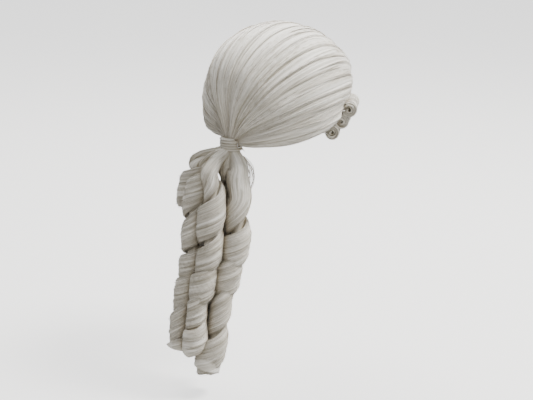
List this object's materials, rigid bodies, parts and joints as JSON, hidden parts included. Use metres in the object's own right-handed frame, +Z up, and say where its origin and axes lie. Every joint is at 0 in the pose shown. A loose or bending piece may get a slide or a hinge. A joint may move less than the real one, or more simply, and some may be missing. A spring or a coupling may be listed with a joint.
{
  "type": "costume wig",
  "caption": "White period costume wig: sewn cap, hair combed back over the crown, rolled curls at the temples and a bound tail of ringlets at the nape.",
  "frame": {"origin": "middle of the head opening, on the wearer's centre plane at the widest level of the head", "axes": "+Z up along the wearer's head; the front of the wig faces -Y and the tail hangs towards +Y; +X is the wearer's left"},
  "size_m": [0.218, 0.3264, 0.4971],
  "materials": {
    "crown_hair": "combed ivory-white synthetic fibre, soft sheen along the strands",
    "tail_hair": "curled ivory-white synthetic fibre, strands wound round each ringlet",
    "roll_hair": "ivory-white synthetic fibre wound flat into a tube",
    "weft_hair": "machine-sewn rows of ivory-white fibre",
    "cap_net": "open stretch net",
    "cap_tape": "woven cotton tape, straight stitched",
    "elastic": "ribbed woven elastic",
    "tie_elastic": "covered elastic cord",
    "hook_plastic": "moulded translucent-white plastic",
    "pin_steel": "bright drawn wire"
  },
  "bodies": {
    "root": {"crown_net": "cap_net", "crown_patch": "cap_tape", "front_band": "cap_tape", "nape_band": "cap_tape", "ear_tab_left": "cap_tape", "ear_tab_right": "cap_tape", "ear_tab_stay_left": "pin_steel", "ear_tab_stay_right": "pin_steel", "ear_binding_left": "cap_tape", "ear_binding_right": "cap_tape", "centre_rib": "cap_tape", "cross_rib_left": "cap_tape", "cross_rib_right": "cap_tape", "top_wefts": "weft_hair", "back_wefts": "weft_hair", "adjuster_eyes_left": "cap_tape", "adjuster_eyes_right": "cap_tape", "adjuster_keepers_left": "cap_tape", "adjuster_keepers_right": "cap_tape", "crown_hair": "crown_hair", "nape_hair_left": "crown_hair", "nape_hair_right": "crown_hair", "temple_hair_left": "roll_hair", "temple_hair_right": "roll_hair", "gathered_hair": "crown_hair", "hair_tie": "tie_elastic", "hair_wrap": "crown_hair", "wrap_pin": "pin_steel", "side_roll_top_left": "roll_hair", "side_roll_top_right": "roll_hair", "side_roll_middle_left": "roll_hair", "side_roll_middle_right": "roll_hair", "side_roll_low_left": "roll_hair", "side_roll_low_right": "roll_hair", "roll_pins_left": "pin_steel", "roll_pins_right": "pin_steel"},
    "tail_sway": {"tail_root": "tail_hair"},
    "tail": {"tail_neck": "tail_hair", "inner_ringlet": "tail_hair"},
    "right_curl": {"right_ringlet": "tail_hair"},
    "back_right_curl": {"back_right_ringlet": "tail_hair"},
    "back_left_curl": {"back_left_ringlet": "tail_hair"},
    "left_curl": {"left_ringlet": "tail_hair"},
    "left_adjuster": {"adjuster_strap_left": "elastic", "adjuster_hook_left": "hook_plastic"},
    "right_adjuster": {"adjuster_strap_right": "elastic", "adjuster_hook_right": "hook_plastic"}
  },
  "joints": [
    {"name": "tail_sway", "type": "hinge", "parent": "root", "child": "tail_sway", "pos_m": [0, 0.099, -0.051], "axis": [0, 1, 0], "range_deg": [-20, 20]},
    {"name": "tail_swing", "type": "hinge", "parent": "tail_sway", "child": "tail", "pos_m": [0, 0.099, -0.051], "axis": [1, 0, 0], "range_deg": [0, 50]},
    {"name": "right_curl_swing", "type": "hinge", "parent": "tail", "child": "right_curl", "pos_m": [-0.01485, 0.10708, -0.087], "axis": [0, 1, 0], "range_deg": [0, 18]},
    {"name": "back_right_curl_swing", "type": "hinge", "parent": "tail", "child": "back_right_curl", "pos_m": [-0.00585, 0.12103, -0.087], "axis": [0.9171, 0.3987, 0], "range_deg": [0, 15]},
    {"name": "back_left_curl_swing", "type": "hinge", "parent": "tail", "child": "back_left_curl", "pos_m": [0.00855, 0.11923, -0.087], "axis": [0.8682, -0.4962, 0], "range_deg": [0, 15]},
    {"name": "left_curl_swing", "type": "hinge", "parent": "tail", "child": "left_curl", "pos_m": [0.0135, 0.10528, -0.087], "axis": [0, -1, 0], "range_deg": [0, 18]},
    {"name": "left_adjuster_slide", "type": "hinge", "parent": "root", "child": "left_adjuster", "pos_m": [0, 0.03102, -0.02355], "axis": [0, 0.1392, 0.9903], "range_deg": [-4, 6]},
    {"name": "right_adjuster_slide", "type": "hinge", "parent": "root", "child": "right_adjuster", "pos_m": [0, 0.03102, -0.02355], "axis": [0, -0.1392, -0.9903], "range_deg": [-4, 6]}
  ]
}
